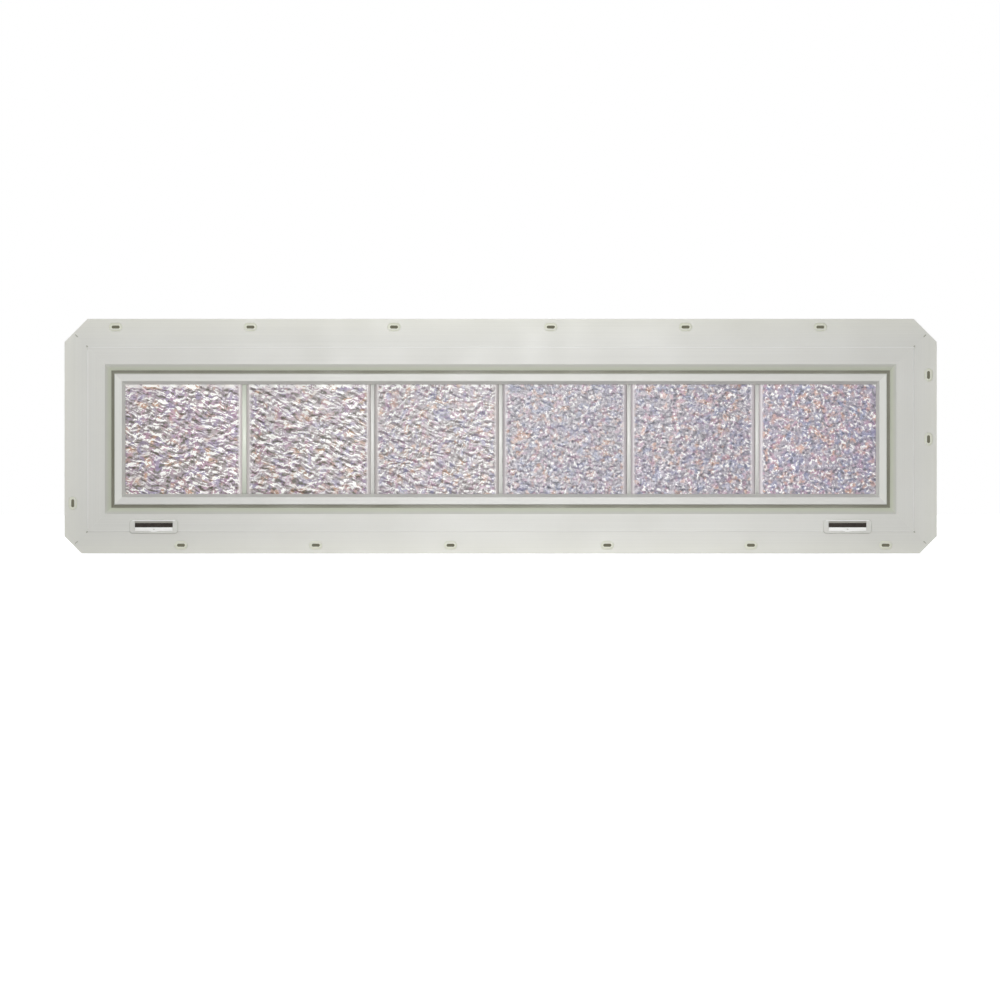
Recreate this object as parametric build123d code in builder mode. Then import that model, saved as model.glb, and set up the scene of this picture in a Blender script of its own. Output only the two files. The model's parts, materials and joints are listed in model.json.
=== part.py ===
from build123d import *

import os
from collections import namedtuple
from itertools import accumulate

os.makedirs("parts", exist_ok=True)

# A fixed window: six hollow glass blocks in one row, held in a welded vinyl frame with a
# nailing fin all round. All sizes are in millimetres. X runs along the width, Z is up, and
# the outside of the house is towards -Y. The back of the fin lies on the wall at Y = 0.

# Glass blocks and the strips between them
block_size = 196.85
block_depth = 50.8
block_count = 6
block_shoulder_radius = 4.0
block_face_thickness = 6.5
block_side_thickness = 6.0
block_cavity_radius = 6.0
block_press_draft = 2.5
block_flange_depth = 9.0
block_flange_lip = 2.5
block_seam_width = 1.5
block_seam_lip = 1.0
joint_width = 6.35
joint_strip_wall = 1.6
joint_strip_setback = 1.0

# Frame extrusion
head_fin_width = 44.45
sill_fin_width = 34.9
jamb_fin_width = 36.5
fin_thickness = 2.0
fin_setback = 2.0
fin_rib_distance = 16.5
fin_rib_width = 1.0
fin_rib_height = 0.4
fin_corner_reach = 22.2
frame_depth = 82.55
frame_wall = 2.2
frame_face_width = 27.5
frame_slope_width = 9.4
frame_slope_depth = 8.0
bead_pocket_width = 7.55
frame_edge_radius = 0.8
glass_bite = 11.675
stop_bevel = 3.0
snap_lip_reach = 1.8
snap_lip_thickness = 1.6
snap_lip_drop = 4.0

# Glazing bead, gasket, tape and setting blocks
bead_gap = 5.5
bead_recess = 6.0
bead_depth = 10.0
bead_wall = 1.5
bead_slope_width = 5.2
bead_edge_radius = 1.2
bead_barb_overlap = 0.6
bead_barb_height = 1.8
gasket_thickness = 1.6
gasket_inset = 0.8
gasket_edge_distance = 1.8
setting_clearance = 3.175
setting_block_length = 50.0
setting_block_spacing = 110.0

# Nail slots
slot_length = 12.7
slot_width = 4.8
slot_edge_distance = 13.0
first_slot_distance = 44.45
rail_slot_steps = (213.4, 227.3, 248.3, 213.4, 213.4)
jamb_slot_step = 101.6

# Weep covers on the sill
weep_end_distance = 105.0
weep_window_length = 60.0
weep_window_height = 12.8
weep_window_above_edge = 0.5
weep_side_rim = 8.5
weep_top_rim = 5.5
weep_bottom_rim = 3.7
weep_cover_thickness = 2.2
weep_cover_radius = 5.0
weep_rim_chamfer = 0.9
weep_bevel_height = 3.2
weep_bulge_length = 16.0
weep_bulge_drop = 1.5
weep_flap_height = 5.9
weep_flap_thickness = 1.6
weep_notch_length = 4.5
weep_notch_height = 2.0

# Running clearance between pieces that fit together
fit = 0.3

# Places across a frame member, measured inward from the frame's outer side
slope_end = frame_face_width + frame_slope_width
bead_start = slope_end + bead_gap
seat_line = slope_end + bead_pocket_width
block_edge = seat_line + setting_clearance
sight_line = block_edge + glass_bite

# Places through the wall, measured along Y
face_y = -fin_thickness - fin_setback
slope_y = face_y + frame_slope_depth
frame_back_y = face_y + frame_depth
bead_front_y = face_y + bead_recess
bead_back_y = bead_front_y + bead_depth
block_front_y = bead_back_y + gasket_thickness
block_back_y = block_front_y + block_depth
block_seam_y = block_front_y + block_depth / 2
stop_y = block_back_y + gasket_thickness
lip_y = slope_y + snap_lip_drop
pocket_y = lip_y + snap_lip_thickness + bead_barb_height + fit + frame_wall

# Overall size, worked out from the blocks outward
block_pitch = block_size + joint_width
panel_width = block_count * block_size + (block_count - 1) * joint_width
frame_half_width = panel_width / 2 + block_edge
frame_half_height = block_size / 2 + block_edge
frame_base_z = sill_fin_width / 2
window_centre_z = frame_base_z + frame_half_height
seat_z = frame_base_z + seat_line
seat_opening_height = 2 * (frame_half_height - seat_line)
weep_place = frame_half_width - weep_end_distance

# Nail slots, measured along each member from its middle
first_rail_slot = first_slot_distance - frame_half_width
rail_slots = list(accumulate(rail_slot_steps, initial=first_rail_slot))
left_jamb_slots = [-jamb_slot_step]
right_jamb_slots = [-jamb_slot_step, 0.0]

# Frame members. Each points inward from its own side of the frame, which stands off the
# window's centre, and half its length lies to each side of its middle.
Member = namedtuple("Member", "inward stand_off half_length fin_width slots")
across = (frame_half_height, frame_half_width)
upright = (frame_half_width, frame_half_height)
members = {
    "head": Member(Vector(0, 0, -1), *across, head_fin_width, rail_slots),
    "sill": Member(Vector(0, 0, 1), *across, sill_fin_width, rail_slots),
    "jamb_left": Member(Vector(1, 0, 0), *upright, jamb_fin_width, left_jamb_slots),
    "jamb_right": Member(Vector(-1, 0, 0), *upright, jamb_fin_width, right_jamb_slots),
}
into_wall = Vector(0, 1, 0)
window_centre = Vector(0, 0, window_centre_z)


def section_plane(member):
    """Plane across the middle of a member: x runs inward, y runs into the wall."""
    side = window_centre - member.inward * member.stand_off
    return Plane(origin=side, x_dir=member.inward, z_dir=member.inward.cross(into_wall))


def elevation_plane(member):
    """Plane on the back of the fin: x runs along the member, y runs inward."""
    side = window_centre - member.inward * member.stand_off
    return Plane(origin=side, x_dir=member.inward.cross(into_wall), z_dir=into_wall)


def mitre_outline(member):
    """Outline of a member seen square on: mitred ends, and its share of the cut corners."""
    reach = sight_line + frame_wall
    fin_end = member.half_length + 2 * fin_corner_reach - member.fin_width
    right_end = [
        (fin_end, -member.fin_width),
        (member.half_length + fin_corner_reach, -fin_corner_reach),
        (member.half_length - reach, reach),
    ]
    left_end = [(-x, y) for x, y in reversed(right_end)]
    return Polygon(*right_end, *left_end, align=None)


def round_corners(section, corners, radius):
    """Round the corners of a section that lie at the given points."""
    for corner in corners:
        vertex = section.vertices().sort_by_distance(corner)[0]
        fillet(vertex, radius=radius)


def frame_section(section, fin_width):
    """Hollow vinyl section: face, slope, bead pocket, seat, inner stop, webs and fin."""
    outline = Polygon(
        (0, face_y),
        (frame_face_width, face_y),
        (slope_end, slope_y),
        (slope_end, pocket_y),
        (seat_line, pocket_y),
        (seat_line, stop_y),
        (sight_line, stop_y),
        (sight_line, frame_back_y - stop_bevel),
        (sight_line - stop_bevel, frame_back_y),
        (0, frame_back_y),
        align=None,
    )
    offset(outline, amount=-frame_wall, kind=Kind.INTERSECTION, mode=Mode.SUBTRACT)
    middle_web_y = (pocket_y + stop_y) / 2
    for web_y in (pocket_y, middle_web_y, stop_y):
        with Locations((0, web_y)):
            Rectangle(seat_line, frame_wall, align=Align.MIN)
    with Locations((-fin_width, -fin_thickness)):
        Rectangle(fin_width + frame_wall, fin_thickness, align=Align.MIN)
    with Locations((fin_rib_distance - fin_width, -fin_thickness - fin_rib_height)):
        Rectangle(fin_rib_width, fin_rib_height, align=(Align.CENTER, Align.MIN))
    with Locations((slope_end, lip_y)):
        Rectangle(snap_lip_reach, snap_lip_thickness, align=Align.MIN)
    soft_corners = [
        (0, face_y),
        (frame_face_width, face_y),
        (slope_end, slope_y),
        (sight_line, stop_y),
        (sight_line, frame_back_y - stop_bevel),
        (sight_line - stop_bevel, frame_back_y),
        (0, frame_back_y),
    ]
    round_corners(section, soft_corners, frame_edge_radius)


def bead_section(section):
    """Hollow bead with a sloped sight edge and a barbed leg that snaps behind the lip."""
    barb_y = lip_y + snap_lip_thickness + fit
    barb_u = slope_end + snap_lip_reach - bead_barb_overlap
    leg_u = seat_line - fit
    leg_end_y = pocket_y - fit
    body = Polygon(
        (bead_start, bead_front_y),
        (sight_line - bead_slope_width, bead_front_y),
        (sight_line, bead_back_y),
        (bead_start, bead_back_y),
        align=None,
    )
    offset(body, amount=-bead_wall, kind=Kind.INTERSECTION, mode=Mode.SUBTRACT)
    with Locations((bead_start, bead_back_y - bead_wall)):
        leg_length = leg_end_y - bead_back_y + bead_wall
        Rectangle(leg_u - bead_start, leg_length, align=Align.MIN)
    Polygon(
        (barb_u, barb_y),
        (leg_u, barb_y),
        (leg_u, barb_y + bead_barb_height),
        align=None,
    )
    front_corners = [
        (bead_start, bead_front_y),
        (sight_line - bead_slope_width, bead_front_y),
    ]
    round_corners(section, front_corners, bead_edge_radius)


def gasket_section(start_y):
    """Soft strip between the glass and what holds it, starting at a given depth."""
    gasket_width = glass_bite - gasket_inset - gasket_edge_distance
    with Locations((block_edge + gasket_edge_distance, start_y)):
        Rectangle(gasket_width, gasket_thickness, align=Align.MIN)


def cut_nail_slots(member):
    """Punch the nail slots of a member through its fin."""
    nail_line = slot_edge_distance - member.fin_width
    with BuildSketch(elevation_plane(member)) as slots:
        with Locations(*[(place, nail_line) for place in member.slots]):
            SlotOverall(slot_length, slot_width)
    extrude(slots.sketch, amount=2 * fin_thickness, both=True, mode=Mode.SUBTRACT)


def cut_weep_slots(member):
    """Open the sill's outer face behind the two weep covers."""
    slot_top = weep_window_above_edge + weep_window_height
    slot_height = weep_window_height - weep_flap_height
    with BuildSketch(elevation_plane(member).offset(face_y)) as slots:
        with Locations((-weep_place, slot_top), (weep_place, slot_top)):
            Rectangle(weep_window_length, slot_height, align=(Align.CENTER, Align.MAX))
    extrude(slots.sketch, amount=2 * frame_wall, mode=Mode.SUBTRACT)


def extrude_member(member, section):
    """Run a section along its member and cut it to the member's mitred outline."""
    run = member.half_length + fin_corner_reach
    extrude(section.sketch, amount=run, both=True)
    with BuildSketch(elevation_plane(member)) as outline:
        mitre_outline(member)
    extrude(outline.sketch, amount=frame_depth, both=True, mode=Mode.INTERSECT)


def save(piece, name):
    """Label a finished piece and write it under its own name."""
    piece.part.label = name
    export_step(piece.part, f"parts/{name}.step")


# Frame members, mitred and welded at the corners
for side, member in members.items():
    with BuildPart() as frame_member:
        with BuildSketch(section_plane(member), mode=Mode.PRIVATE) as section:
            frame_section(section, member.fin_width)
        extrude_member(member, section)
        cut_nail_slots(member)
        if side == "sill":
            cut_weep_slots(member)
    save(frame_member, f"frame_{side}")

# Snap-in glazing beads on the outside, mitred like the frame
for side, member in members.items():
    with BuildPart() as glazing_bead:
        with BuildSketch(section_plane(member), mode=Mode.PRIVATE) as section:
            bead_section(section)
        extrude_member(member, section)
    save(glazing_bead, f"glazing_bead_{side}")

# Gasket between bead and glass, and tape between glass and the inner stop
for side, member in members.items():
    for name, start_y in (("bead_gasket", bead_back_y), ("glazing_tape", block_back_y)):
        with BuildPart() as soft_strip:
            with BuildSketch(section_plane(member), mode=Mode.PRIVATE) as section:
                gasket_section(start_y)
            extrude_member(member, section)
        save(soft_strip, f"{name}_{side}")


def block_half(outward, number, name):
    """One pressed half of a hollow block, built from the seam out to its patterned face."""
    first_x = -(block_count - 1) / 2 * block_pitch
    centre = Vector(first_x + (number - 1) * block_pitch, block_seam_y, window_centre_z)
    seam = Plane(origin=centre, x_dir=Vector(1, 0, 0), z_dir=outward)
    half_depth = block_depth / 2
    waist_size = block_size - 2 * block_flange_lip
    seam_size = waist_size + 2 * block_seam_lip
    cavity_size = waist_size - 2 * block_side_thickness
    with BuildPart() as half:
        with BuildSketch(seam):
            Rectangle(waist_size, waist_size)
        extrude(amount=half_depth)
        with BuildSketch(seam):
            Rectangle(seam_size, seam_size)
        extrude(amount=block_seam_width)
        with BuildSketch(seam.offset(half_depth - block_flange_depth)):
            Rectangle(block_size, block_size)
        extrude(amount=block_flange_depth)
        outside_face = half.faces().sort_by(Axis(centre, outward))[-1]
        fillet(outside_face.edges(), radius=block_shoulder_radius)
        with BuildSketch(seam):
            RectangleRounded(cavity_size, cavity_size, block_cavity_radius)
        cavity_depth = half_depth - block_face_thickness
        extrude(amount=cavity_depth, taper=block_press_draft, mode=Mode.SUBTRACT)
    save(half, name)


# Six hollow glass blocks, each fused from two pressed halves
for number in range(1, block_count + 1):
    block_half(Vector(0, -1, 0), number, f"glass_block_{number}_front")
    block_half(Vector(0, 1, 0), number, f"glass_block_{number}_back")

# Keyed hollow strips that stand in the joints between the blocks
tongue_width = joint_width - 2 * fit
tongue_length = block_depth - 2 * joint_strip_setback
core_width = joint_width + 2 * (block_flange_lip - block_seam_lip - fit)
core_length = block_depth - 2 * (block_flange_depth + fit)
for number in range(1, block_count):
    strip_x = (number - block_count / 2) * block_pitch
    strip_foot = Plane(origin=(strip_x, block_seam_y, seat_z))
    with BuildPart() as joint_strip:
        with BuildSketch(strip_foot):
            Rectangle(tongue_width, tongue_length)
            Rectangle(core_width, core_length)
            core_inner = core_width - 2 * joint_strip_wall
            Rectangle(core_inner, core_length - 2 * joint_strip_wall, mode=Mode.SUBTRACT)
        extrude(amount=seat_opening_height - fit)
    save(joint_strip, f"joint_strip_{number}")

# Setting blocks on the sill's seat, two under each glass block
with BuildPart() as setting_blocks:
    with BuildSketch(Plane(origin=(0, block_seam_y, seat_z))):
        with GridLocations(block_pitch, 0, block_count, 1):
            with GridLocations(setting_block_spacing, 0, 2, 1):
                Rectangle(setting_block_length, tongue_length)
    extrude(amount=setting_clearance)
save(setting_blocks, "setting_blocks")


def weep_outline(length, height, base, mode):
    """Long low rectangle with a small drip bulge at the middle of its lower edge."""
    with Locations((0, base)):
        Rectangle(length, height, align=(Align.CENTER, Align.MIN), mode=mode)
    half_bulge = weep_bulge_length / 2
    with BuildLine() as bulge:
        arc = SagittaArc((-half_bulge, base), (half_bulge, base), -weep_bulge_drop)
        Line(arc @ 1, arc @ 0)
    make_face(bulge.edges(), mode=mode)


# Weep covers that snap into the sill's outer face, each with a white flap in its window
weep_base_z = frame_base_z + weep_window_above_edge
weep_cover_length = weep_window_length + 2 * weep_side_rim
weep_cover_height = weep_window_height + weep_top_rim + weep_bottom_rim
for side_name, weep_x in (("left", -weep_place), ("right", weep_place)):
    weep_base = (weep_x, face_y, weep_base_z)
    sill_face = Plane(origin=weep_base, x_dir=(1, 0, 0), z_dir=(0, -1, 0))
    cover_section = Plane(origin=weep_base, x_dir=(0, 1, 0), z_dir=(1, 0, 0))

    with BuildPart() as weep_cover:
        with BuildSketch(sill_face):
            with Locations((0, weep_cover_height / 2 - weep_bottom_rim)):
                RectangleRounded(weep_cover_length, weep_cover_height, weep_cover_radius)
        extrude(amount=weep_cover_thickness)
        cover_front = weep_cover.faces().sort_by(Axis.Y)[0]
        chamfer(cover_front.edges(), length=weep_rim_chamfer)
        with BuildSketch(sill_face):
            weep_outline(weep_window_length, weep_window_height, 0, Mode.ADD)
        extrude(amount=weep_cover_thickness, mode=Mode.SUBTRACT)
        with BuildSketch(cover_section):
            Polygon(
                (0, weep_window_height),
                (-weep_cover_thickness, weep_window_height),
                (-weep_cover_thickness, weep_window_height + weep_bevel_height),
                align=None,
            )
        extrude(amount=weep_window_length / 2, both=True, mode=Mode.SUBTRACT)
    save(weep_cover, f"weep_cover_{side_name}")

    with BuildPart() as weep_flap:
        with BuildSketch(sill_face):
            flap_length = weep_window_length - 2 * fit
            weep_outline(flap_length, weep_flap_height - fit, fit, Mode.ADD)
            with Locations((0, weep_flap_height / 2)):
                half_notch = weep_notch_length / 2
                Polygon(
                    (-half_notch, 0),
                    (0, weep_notch_height / 2),
                    (half_notch, 0),
                    (0, -weep_notch_height / 2),
                    align=None,
                    mode=Mode.SUBTRACT,
                )
        extrude(amount=weep_flap_thickness)
    save(weep_flap, f"weep_flap_{side_name}")
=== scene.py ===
# %% [markdown]
# # Glass block window panel
#
# Six hollow glass blocks stand side by side in a white vinyl frame. The packed
# CAD model comes in first and is never moved. Everything after it only gives
# the parts their finishes, replaces the plain glass with patterned glass, and
# adds small marks of manufacture. The pieces of the window are written in
# millimetres and turned to metres where a piece is made. The camera, the lamps
# and the floor are placed in metres.

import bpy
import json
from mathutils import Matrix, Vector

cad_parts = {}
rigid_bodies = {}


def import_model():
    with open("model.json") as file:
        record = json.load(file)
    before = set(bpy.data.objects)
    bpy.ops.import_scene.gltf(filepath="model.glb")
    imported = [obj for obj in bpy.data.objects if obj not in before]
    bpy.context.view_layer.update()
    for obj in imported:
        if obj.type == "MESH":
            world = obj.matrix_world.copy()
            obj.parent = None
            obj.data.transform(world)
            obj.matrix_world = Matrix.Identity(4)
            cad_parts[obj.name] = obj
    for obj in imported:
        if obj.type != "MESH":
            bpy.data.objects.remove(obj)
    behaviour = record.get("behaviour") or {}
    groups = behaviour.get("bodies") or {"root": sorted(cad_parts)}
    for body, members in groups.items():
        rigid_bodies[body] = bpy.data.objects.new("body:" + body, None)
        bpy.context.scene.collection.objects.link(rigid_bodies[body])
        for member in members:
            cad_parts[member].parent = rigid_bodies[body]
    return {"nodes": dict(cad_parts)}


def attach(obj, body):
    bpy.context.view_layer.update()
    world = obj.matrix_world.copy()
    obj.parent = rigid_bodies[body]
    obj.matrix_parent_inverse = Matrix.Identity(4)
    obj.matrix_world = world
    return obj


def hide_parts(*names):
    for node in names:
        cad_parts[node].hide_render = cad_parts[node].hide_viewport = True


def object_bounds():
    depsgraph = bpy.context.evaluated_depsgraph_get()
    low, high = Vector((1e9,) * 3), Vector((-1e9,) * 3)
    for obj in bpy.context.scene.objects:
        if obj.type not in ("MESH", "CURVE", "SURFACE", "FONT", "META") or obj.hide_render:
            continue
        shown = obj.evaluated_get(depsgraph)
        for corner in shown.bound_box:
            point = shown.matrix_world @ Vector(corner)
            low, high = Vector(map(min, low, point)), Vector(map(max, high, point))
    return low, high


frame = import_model()
cad_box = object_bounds()
print("CAD nodes:", len(frame["nodes"]))
print("CAD box:", [round(v, 5) for corner in cad_box for v in corner])

# %% [markdown]
# ## Small helpers
#
# Colours are written as sRGB hex values, as a paint program shows them, but
# Blender mixes light with linear numbers, so one function turns the first into
# the second. A second function adds a shader node, sets its properties and
# fills or links its inputs, so that each material reads as a short list.

# %% Helpers
import json
import math

import bpy
from mathutils import Vector, noise

MM = 0.001


def linear(hex_colour):
    """An sRGB hex colour as linear red, green, blue and alpha."""
    channels = []
    for start in (1, 3, 5):
        value = int(hex_colour[start : start + 2], 16) / 255
        low = value / 12.92
        high = ((value + 0.055) / 1.055) ** 2.4
        channels.append(low if value <= 0.04045 else high)
    return (*channels, 1.0)


def add(tree, kind, inputs=None, **properties):
    """A new shader node. Each input is a value, a socket, or a node whose first output is meant."""
    made = tree.nodes.new("ShaderNode" + kind)
    for name, value in properties.items():
        setattr(made, name, value)
    for name, value in (inputs or {}).items():
        source = value.outputs[0] if isinstance(value, bpy.types.Node) else value
        if isinstance(source, bpy.types.NodeSocket):
            tree.links.new(source, made.inputs[name])
        else:
            made.inputs[name].default_value = source
    return made


print("middle grey in linear light:", round(linear("#808080")[0], 3))


# %% [markdown]
# A material starts from an empty node tree with the main shader, and with the
# object's own coordinates in millimetres. Every pattern in this scene is soft
# noise at a real size: the coordinates are turned, then divided by the size of
# the features, and the noise is read there. Most of it lies between 0.3 and 0.7.

# %% Materials and patterns
NOISE_SPREAD = {"From Min": 0.3, "From Max": 0.7}


def emptied(owner):
    """The node tree of a material or a world, with no nodes in it."""
    owner.use_nodes = True
    owner.node_tree.nodes.clear()
    return owner.node_tree


def new_material(name):
    """A new material: its node tree, its main shader and the object coordinates in millimetres."""
    material = bpy.data.materials.new(name)
    tree = emptied(material)
    shader = add(tree, "BsdfPrincipled")
    add(tree, "OutputMaterial", {"Surface": shader})
    place = add(tree, "TexCoord").outputs["Object"]
    millimetres = add(tree, "VectorMath", {0: place, "Scale": 1 / MM}, operation="SCALE")
    return material, tree, shader, millimetres.outputs[0]


def soft_pattern(tree, place, size, detail=1.0, turn=0.0):
    """Soft noise with features of size = (x, y, z) millimetres, turned about Y by an angle in degrees."""
    turned = add(tree, "Mapping", {"Vector": place, "Rotation": (0, math.radians(turn), 0)})
    sized = add(tree, "Mapping", {"Vector": turned, "Scale": tuple(1 / s for s in size)})
    return add(tree, "TexNoise", {"Vector": sized, "Scale": 1.0, "Detail": detail})


# %% [markdown]
# Two more helpers give the CAD nodes their finish and add new pieces. A new
# piece rides on the window's one body.

# %% Nodes and pieces
def dress(material, *names):
    """Gives every CAD node whose name starts with one of these names its finish."""
    dressed = [n for n in frame["nodes"] if n.startswith(names)]
    for name in dressed:
        mesh = frame["nodes"][name].data
        mesh.materials.clear()
        mesh.materials.append(material)
    print(material.name, "on", len(dressed), "nodes")


def add_piece(name, vertices, faces, material, smooth=True):
    """A new mesh piece from millimetre vertices, on the part's one body."""
    mesh = bpy.data.meshes.new(name)
    mesh.from_pydata([Vector(v) * MM for v in vertices], [], faces)
    mesh.materials.append(material)
    mesh.polygons.foreach_set("use_smooth", [smooth] * len(mesh.polygons))
    piece = bpy.data.objects.new(name, mesh)
    bpy.context.scene.collection.objects.link(piece)
    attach(piece, "root")
    return piece


def count_pieces(word):
    """How many objects have this word in their names."""
    return sum(word in piece.name for piece in bpy.data.objects)


# %% [markdown]
# ## Camera
#
# The photograph is taken straight on and shows no perspective, so the camera
# stands far away with a long lens. The picture is 1000 pixels wide and the
# window's fins fill 872.6 of them, which gives the width of the view. The
# window lies above the middle of the picture, so the camera looks at a point
# below the window instead of tilting or shifting.

# %% Camera
PICTURE = 1000
OUTLINE_CENTRE = (500.65, 436.1)
OUTLINE_WIDTH = 872.6
CAMERA_DISTANCE = 12.0
SENSOR_WIDTH = 36.0

low, high = cad_box
pixel = (high.x - low.x) / OUTLINE_WIDTH
aim_x = (low.x + high.x) / 2 - (OUTLINE_CENTRE[0] - PICTURE / 2) * pixel
aim_z = (low.z + high.z) / 2 - (PICTURE / 2 - OUTLINE_CENTRE[1]) * pixel

camera_data = bpy.data.cameras.new("camera")
camera_data.sensor_width = SENSOR_WIDTH
camera_data.lens = SENSOR_WIDTH * CAMERA_DISTANCE / (pixel * PICTURE)
camera_data.clip_end = 100.0
camera = bpy.data.objects.new("camera", camera_data)
camera.location = (aim_x, low.y - CAMERA_DISTANCE, aim_z)
camera.rotation_euler = (math.radians(90), 0, 0)
bpy.context.scene.collection.objects.link(camera)
bpy.context.scene.camera = camera
bpy.context.scene.view_settings.view_transform = "Standard"
print("pixel:", round(pixel / MM, 4), "mm, lens:", round(camera_data.lens, 1), "mm")

# %% [markdown]
# ## Light
#
# The photograph is lit softly from the front. A large lamp far in front gives
# every face that looks forward the same light. The middle of the frame is
# brighter than its ends, so two narrow spots with soft edges add a little there,
# one on the head and one on the sill. A weak lamp at the top left lets the lower
# and right-hand inner edges catch more light than the upper and left ones. Two
# lamps behind keep the back readable from other angles.

# %% Area lamps
def place_lamp(data, location, target):
    """Puts a lamp in its place and turns it towards a point."""
    lamp = bpy.data.objects.new(data.name, data)
    lamp.location = location
    lamp.rotation_euler = (target - lamp.location).to_track_quat("-Z", "Y").to_euler()
    bpy.context.scene.collection.objects.link(lamp)


def area_lamp(name, location, width, height, watts):
    """A rectangular soft lamp that looks at the window."""
    data = bpy.data.lights.new(name, "AREA")
    data.shape = "RECTANGLE"
    data.size, data.size_y = width, height
    data.energy = watts
    place_lamp(data, location, (low + high) / 2)


area_lamp("front_lamp", (0.0, -6.0, 0.45), 3.0, 2.4, 180)
area_lamp("top_left_lamp", (-2.2, -1.6, 3.0), 1.6, 1.6, 12)
area_lamp("back_left_lamp", (-3.0, 4.0, 2.5), 2.5, 2.5, 70)
area_lamp("back_right_lamp", (3.0, 4.0, 2.5), 2.5, 2.5, 70)
print("area lamps:", count_pieces("_lamp"))


# %% Spots
SPOT_ANGLE = 9.5
SPOT_SOFTNESS = 0.3


def spot_lamp(name, location, target, watts):
    """A narrow spot with a soft edge, aimed at a point on the window's front."""
    data = bpy.data.lights.new(name, "SPOT")
    data.energy = watts
    data.spot_size = math.radians(SPOT_ANGLE)
    data.spot_blend = 1.0
    data.shadow_soft_size = SPOT_SOFTNESS
    place_lamp(data, location, Vector(target))


spot_lamp("upper_spot", (0.0, -8.0, 0.8), (-0.26, 0.0, 0.42), 240)
spot_lamp("lower_spot", (0.0, -8.0, 0.5), (0.14, 0.0, -0.08), 440)

# %% [markdown]
# ## World
#
# The world fills the shadows with weak grey light. What the camera, a glossy
# surface or glass sees of it is plain white instead, so the background is
# white although it adds no more light to the object.

# %% World
FILL = 0.24
WHITE = linear("#FFFFFF")

world = bpy.data.worlds.new("studio")
bpy.context.scene.world = world
tree = emptied(world)


def seen_directly(tree):
    """1 for rays of the camera, of glossy surfaces and of glass, and 0 for the rays that carry light."""
    rays = add(tree, "LightPath").outputs
    shown = rays["Is Camera Ray"]
    for kind in ("Is Glossy Ray", "Is Transmission Ray"):
        shown = add(tree, "Math", {0: shown, 1: rays[kind]}, operation="MAXIMUM")
    return shown


fill = add(tree, "Background", {"Color": WHITE, "Strength": FILL})
white = add(tree, "Background", {"Color": WHITE, "Strength": 1.0})
mixed = add(tree, "MixShader", {0: seen_directly(tree), 1: fill, 2: white})
add(tree, "OutputWorld", {"Surface": mixed})
print("world fill:", FILL)

# %% [markdown]
# ## Floor and backing card
#
# The window stands on a pale floor. The floor is a matt white surface with some
# white of its own for the camera, so that it joins the background, and a shadow
# on it still shows as a loss of light. Far from the window, where no lamp
# reaches, its own white is full.
#
# In the photograph dark ground shows through the nail slots. A dark card hangs
# close behind the fins for that. It is part of the studio, like the floor: its
# back is clear, and it is hidden from every ray but the camera's, so it darkens
# nothing and doesn't show from behind.

# %% Floor
def stage_piece(name, vertices, faces, material):
    """A piece of the studio, which isn't part of the window."""
    mesh = bpy.data.meshes.new(name)
    mesh.from_pydata(vertices, [], faces)
    mesh.materials.append(material)
    piece = bpy.data.objects.new(name, mesh)
    bpy.context.scene.collection.objects.link(piece)
    return piece


FLOOR_REACH = 30.0
FLOOR_GAP = 0.0005
GLOW_NEAR, GLOW_FAR = (3.0, 0.72), (5.0, 1.0)

floor_paper = bpy.data.materials.new("white_floor_paper")
tree = emptied(floor_paper)
matt = add(tree, "BsdfDiffuse", {"Color": linear("#E6E6E6")})
here = add(tree, "TexCoord").outputs["Object"]
from_window = add(tree, "VectorMath", {0: here}, operation="LENGTH").outputs["Value"]
distances = {"Value": from_window, "From Min": GLOW_NEAR[0], "From Max": GLOW_FAR[0]}
own = add(tree, "MapRange", distances | {"To Min": GLOW_NEAR[1], "To Max": GLOW_FAR[1]})
glow = add(tree, "Emission", {"Color": WHITE, "Strength": own})
own_white = add(tree, "AddShader", {0: matt, 1: glow})
shown = add(tree, "MixShader", {0: seen_directly(tree), 1: matt, 2: own_white})
add(tree, "OutputMaterial", {"Surface": shown})

floor_z = low.z - FLOOR_GAP
corners = [(x * FLOOR_REACH, y * FLOOR_REACH, floor_z) for x, y in ((-1, -1), (1, -1), (1, 1), (-1, 1))]
stage_piece("floor", corners, [(0, 1, 2, 3)], floor_paper)
print("floor at", round(floor_z, 4))

# %% Backing card
CARD_MARGIN = 5.0
CARD_WIDTH = 22.0
CARD_CORNER = 15.0
CARD_GAP = 1.5
FRAME_HALF = (654.05, 146.05)
WINDOW_CENTRE_Z = 163.5

dark_card = bpy.data.materials.new("dark_card")
tree = emptied(dark_card)
dark = add(tree, "Emission", {"Color": linear("#6E6D5E"), "Strength": 1.0})
facing = add(tree, "NewGeometry").outputs["Backfacing"]
one_sided = add(tree, "MixShader", {0: facing, 1: dark, 2: add(tree, "BsdfTransparent")})
add(tree, "OutputMaterial", {"Surface": one_sided})


def card_span(edge, toward):
    """Where a strip of card starts and ends behind one fin, from the fin's outer edge inward."""
    return sorted((edge + toward * CARD_MARGIN * MM, edge + toward * CARD_WIDTH * MM))


along = (FRAME_HALF[0] - CARD_CORNER) * MM
up = (FRAME_HALF[1] - CARD_CORNER) * MM
middle_z = WINDOW_CENTRE_Z * MM
strips = [(-along, along, *card_span(edge, toward)) for edge, toward in ((low.z, 1), (high.z, -1))]
for edge, toward in ((low.x, 1), (high.x, -1)):
    strips.append((*card_span(edge, toward), middle_z - up, middle_z + up))
card_vertices = []
for left, right, bottom, top in strips:
    corners = ((left, bottom), (right, bottom), (right, top), (left, top))
    card_vertices += [(x, CARD_GAP * MM, z) for x, z in corners]
card_faces = [tuple(range(first, first + 4)) for first in range(0, len(card_vertices), 4)]
card = stage_piece("backing_card", card_vertices, card_faces, dark_card)
card.visible_diffuse = card.visible_glossy = card.visible_transmission = card.visible_shadow = False
print("card faces:", len(card_faces))
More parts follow.
